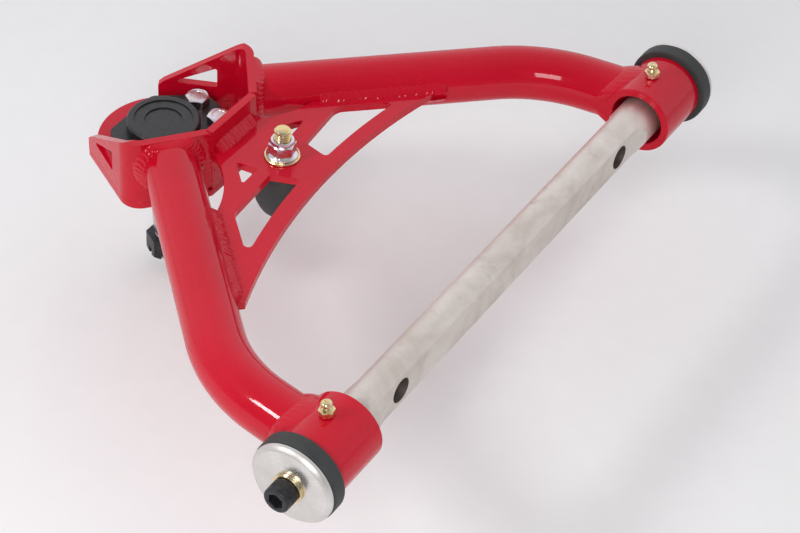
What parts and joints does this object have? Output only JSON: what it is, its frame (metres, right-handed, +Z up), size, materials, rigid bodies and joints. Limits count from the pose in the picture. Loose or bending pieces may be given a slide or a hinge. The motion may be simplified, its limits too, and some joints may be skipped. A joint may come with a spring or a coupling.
{
  "type": "control arm",
  "caption": "Tubular A-shaped upper control arm on a flat-sided cross shaft, with gusset, bump stop and bolt-in ball joint.",
  "frame": {"origin": "middle of the cross shaft, on the axis that the arm swings about, midway between the two frame bolt holes", "axes": "+X outboard to the ball joint, +Y along the cross shaft to the rear bushing, +Z up"},
  "size_m": [0.2918, 0.4286, 0.1445],
  "materials": {
    "red_coat": "glossy red powder coat",
    "shaft_steel": "mottled satin nickel over machined bar",
    "washer_steel": "turned, satin",
    "black_oxide": "oiled black oxide",
    "yellow_zinc": "yellow passivated zinc plate",
    "clear_zinc": "bright zinc plate with a faint purple tint",
    "urethane": "dark grey moulded",
    "black_forging": "black coated forging",
    "stud_steel": "ground, satin",
    "boot_rubber": "smooth black rubber",
    "inner_steel": "oiled"
  },
  "bodies": {
    "shaft": {"cross_shaft": "shaft_steel", "rear_thrust_washer": "washer_steel", "front_thrust_washer": "washer_steel", "rear_lock_washer": "yellow_zinc", "front_lock_washer": "yellow_zinc", "rear_cap_screw": "black_oxide", "front_cap_screw": "black_oxide"},
    "arm": {"rear_arm_tube": "red_coat", "front_arm_tube": "red_coat", "rear_bushing_sleeve": "red_coat", "front_bushing_sleeve": "red_coat", "rear_side_bracket": "red_coat", "front_side_bracket": "red_coat", "back_wall": "red_coat", "gusset_plate": "red_coat", "ball_joint_plate": "red_coat", "rear_bushing": "urethane", "front_bushing": "urethane", "rear_grease_fitting": "yellow_zinc", "front_grease_fitting": "yellow_zinc", "bump_stop": "urethane", "bump_stop_stud": "yellow_zinc", "bump_stop_washer": "yellow_zinc", "bump_stop_nut": "clear_zinc", "ball_joint_housing": "black_forging", "ball_joint_cover": "black_forging", "ball_joint_bolts": "clear_zinc", "ball_joint_nuts": "clear_zinc", "ball_pressure_plate": "inner_steel", "preload_spring": "inner_steel", "boot_clip": "inner_steel"},
    "boot": {"dust_boot": "boot_rubber"},
    "ball": {"half_ball": "inner_steel"},
    "stud": {"ball_stud": "stud_steel", "castle_nut": "black_oxide"}
  },
  "joints": [
    {"name": "arm_swing", "type": "hinge", "parent": "shaft", "child": "arm", "pos_m": [0, 0, 0], "axis": [0, 1, 0], "range_deg": [-28, 28]},
    {"name": "ball_tilt", "type": "hinge", "parent": "arm", "child": "boot", "pos_m": [0.229, 0, -0.0258], "axis": [0, 1, 0], "range_deg": [-17, 17], "deforming": ["dust_boot"]},
    {"name": "ball_sway", "type": "hinge", "parent": "boot", "child": "ball", "pos_m": [0.229, 0, -0.0258], "axis": [1, 0, 0], "range_deg": [-17, 17]},
    {"name": "stud_spin", "type": "hinge", "parent": "ball", "child": "stud", "pos_m": [0.229, 0, -0.0258], "axis": [0, 0, 1], "continuous": true}
  ]
}
